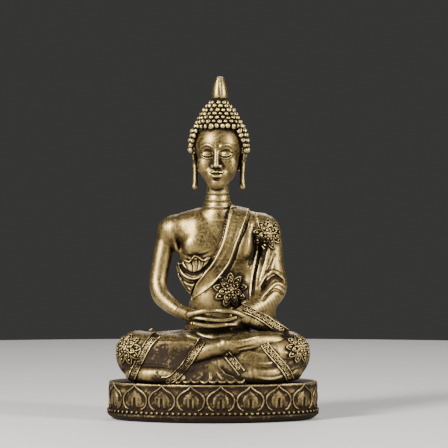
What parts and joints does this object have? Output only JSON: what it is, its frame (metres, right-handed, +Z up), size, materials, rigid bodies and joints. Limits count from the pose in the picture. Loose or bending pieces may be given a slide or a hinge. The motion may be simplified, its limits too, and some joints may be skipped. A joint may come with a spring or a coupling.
{
  "type": "buddha statue",
  "caption": "Small seated meditating figure in an antique gold finish, hands in its lap, cross-legged on an oval lotus plinth with a beaded edge.",
  "frame": {"origin": "centre of the resting face under the felt pad", "axes": "+Z up along the figure, -Y the way the figure faces, +X towards the figure's own left"},
  "size_m": [0.09, 0.0524, 0.145],
  "materials": {
    "gilt_plinth": "cast resin, antique gold paint with a dark wash in the recesses",
    "gilt_robe": "cast resin, antique gold paint, rubbed bright on the folds",
    "gilt_body": "cast resin, antique gold paint, smooth and bright",
    "gilt_hair": "cast resin, antique gold paint, dark between the curls",
    "gilt_ornament": "cast resin relief, antique gold paint, black wash between its lines",
    "felt": "dark felt sheet"
  },
  "bodies": {
    "root": {"plinth": "gilt_plinth", "petal_rims": "gilt_plinth", "petal_hearts": "gilt_plinth", "bead_row": "gilt_plinth", "right_leg": "gilt_robe", "left_leg": "gilt_robe", "front_hem": "gilt_robe", "robe": "gilt_robe", "sash": "gilt_robe", "underarm_fold": "gilt_robe", "left_sleeve": "gilt_robe", "left_shin": "gilt_body", "torso": "gilt_body", "right_upper_arm": "gilt_body", "right_forearm": "gilt_body", "left_forearm": "gilt_body", "right_hand": "gilt_body", "left_hand": "gilt_body", "neck": "gilt_body", "head": "gilt_body", "right_ear": "gilt_body", "left_ear": "gilt_body", "topknot": "gilt_hair", "hair_cap": "gilt_hair", "hair_curls": "gilt_hair", "finial": "gilt_hair", "right_leg_outer_braid": "gilt_ornament", "right_leg_inner_braid": "gilt_ornament", "left_leg_inner_braid": "gilt_ornament", "left_leg_outer_braid": "gilt_ornament", "sleeve_hem": "gilt_ornament", "right_knee_flower": "gilt_ornament", "left_knee_flower": "gilt_ornament", "waist_flower": "gilt_ornament", "shoulder_flower": "gilt_ornament", "base_pad": "felt"}
  },
  "joints": []
}
